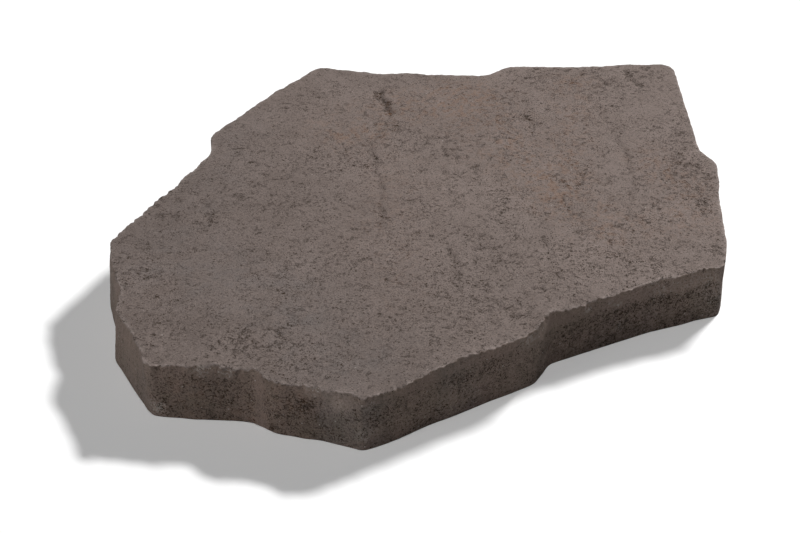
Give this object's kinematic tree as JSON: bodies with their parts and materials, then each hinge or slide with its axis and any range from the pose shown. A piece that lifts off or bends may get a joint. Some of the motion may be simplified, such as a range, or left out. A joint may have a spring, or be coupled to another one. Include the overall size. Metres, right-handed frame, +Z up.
{
  "type": "stepping stone",
  "caption": "Irregular flat concrete slab with a riven top and wavy upright edges that nest with its own copies, laid on the ground as a step or as paving.",
  "frame": {"origin": "middle of the bounding box, on the flat underside", "axes": "+X from the heel corner to the nose corner, along the longest extent; +Y towards the left shoulder corner; +Z up, through the thickness, towards the riven top"},
  "size_m": [0.529, 0.388, 0.0447],
  "materials": {
    "concrete": "dry-pressed concrete, matt, greyish brown, finely pitted"
  },
  "bodies": {
    "root": {"stone": "concrete"}
  },
  "joints": []
}
